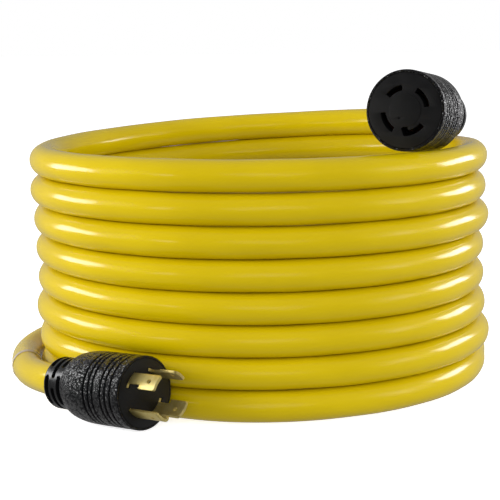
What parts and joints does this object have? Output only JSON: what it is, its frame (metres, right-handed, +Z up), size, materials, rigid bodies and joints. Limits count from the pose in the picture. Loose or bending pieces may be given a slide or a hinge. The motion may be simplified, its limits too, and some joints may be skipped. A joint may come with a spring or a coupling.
{
  "type": "shore power cord",
  "caption": "Coiled heavy yellow power cord with a black moulded locking plug with curved brass blades and a matching locking connector on the other end.",
  "frame": {"origin": "middle of the footprint, on the surface the coil stands on", "axes": "+Z up along the coil's axis; the plug and the connector are both on the -Y side, the plug at -X and the connector at +X; +Y points to the back of the coil"},
  "size_m": [0.3006, 0.3302, 0.1894],
  "materials": {
    "jacket": "glossy yellow flexible vinyl",
    "film": "thin clear wrapping film",
    "grip": "fine pebbled black moulding",
    "relief": "smooth satin black moulding",
    "face": "smooth black nylon",
    "brass": "stamped, lightly brushed",
    "copper": "bright copper",
    "tinned": "tinned, dull",
    "wire_green": "smooth vinyl insulation",
    "wire_black": "smooth vinyl insulation",
    "wire_white": "smooth vinyl insulation",
    "wire_red": "smooth vinyl insulation"
  },
  "bodies": {
    "root": {"coil": "jacket", "plug_lead": "jacket", "connector_lead": "jacket", "lead_film_wrap": "film", "plug_grip": "grip", "plug_flex_relief": "relief", "plug_blade_carrier": "face", "plug_ground_blade": "brass", "plug_ground_crimp": "tinned", "plug_ground_strands": "copper", "plug_ground_wire": "wire_green", "plug_hot_x_blade": "brass", "plug_hot_x_crimp": "tinned", "plug_hot_x_strands": "copper", "plug_hot_x_wire": "wire_black", "plug_neutral_blade": "brass", "plug_neutral_crimp": "tinned", "plug_neutral_strands": "copper", "plug_neutral_wire": "wire_white", "plug_hot_y_blade": "brass", "plug_hot_y_crimp": "tinned", "plug_hot_y_strands": "copper", "plug_hot_y_wire": "wire_red", "connector_grip": "grip", "connector_flex_relief": "relief", "connector_socket_face": "face", "connector_contact_block": "face", "connector_ground_contact": "copper", "connector_ground_crimp": "tinned", "connector_ground_strands": "copper", "connector_ground_wire": "wire_green", "connector_hot_x_contact": "copper", "connector_hot_x_crimp": "tinned", "connector_hot_x_strands": "copper", "connector_hot_x_wire": "wire_black", "connector_neutral_contact": "copper", "connector_neutral_crimp": "tinned", "connector_neutral_strands": "copper", "connector_neutral_wire": "wire_white", "connector_hot_y_contact": "copper", "connector_hot_y_crimp": "tinned", "connector_hot_y_strands": "copper", "connector_hot_y_wire": "wire_red"}
  },
  "joints": []
}
